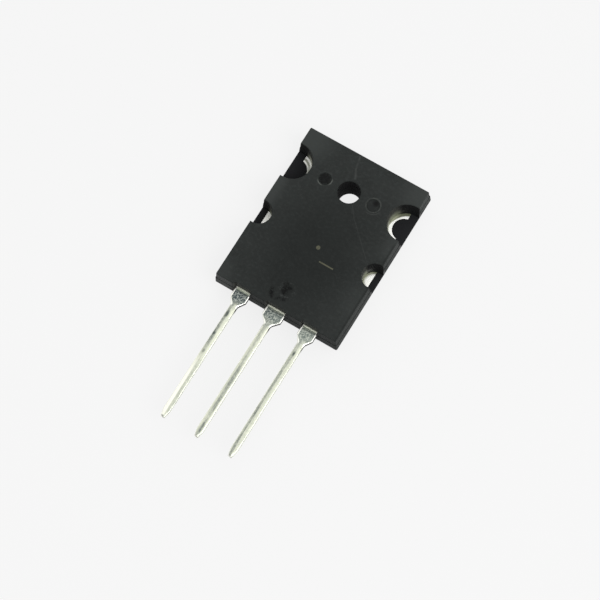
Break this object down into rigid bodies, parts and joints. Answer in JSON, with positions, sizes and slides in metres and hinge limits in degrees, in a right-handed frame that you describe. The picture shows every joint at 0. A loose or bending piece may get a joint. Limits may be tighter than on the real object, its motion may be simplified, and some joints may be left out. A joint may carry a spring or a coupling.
{
  "type": "power transistor",
  "caption": "Moulded power transistor with a screw hole, side notches that show its metal heat sink, and a row of flat tinned leads.",
  "frame": {"origin": "on the axis of the mounting hole, in the plane of the heat sink's back face", "axes": "+X across the marking face from the base lead to the emitter lead, +Y from the lead tips to the hole end, +Z out of the marking face"},
  "size_m": [0.02, 0.0466, 0.005],
  "materials": {
    "epoxy": "fine matte moulding compound",
    "plated_copper": "satin nickel plating over copper",
    "tinned_lead": "mottled hot-tinned",
    "chip": "metallised silicon",
    "solder": "dull soft solder",
    "bond_wire": "bright drawn"
  },
  "bodies": {
    "root": {"moulded_body": "epoxy", "heat_sink": "plated_copper", "base_lead": "tinned_lead", "collector_lead": "tinned_lead", "emitter_lead": "tinned_lead", "silicon_die": "chip", "die_solder": "solder", "base_wire": "bond_wire", "emitter_wire_1": "bond_wire", "emitter_wire_2": "bond_wire"}
  },
  "joints": []
}
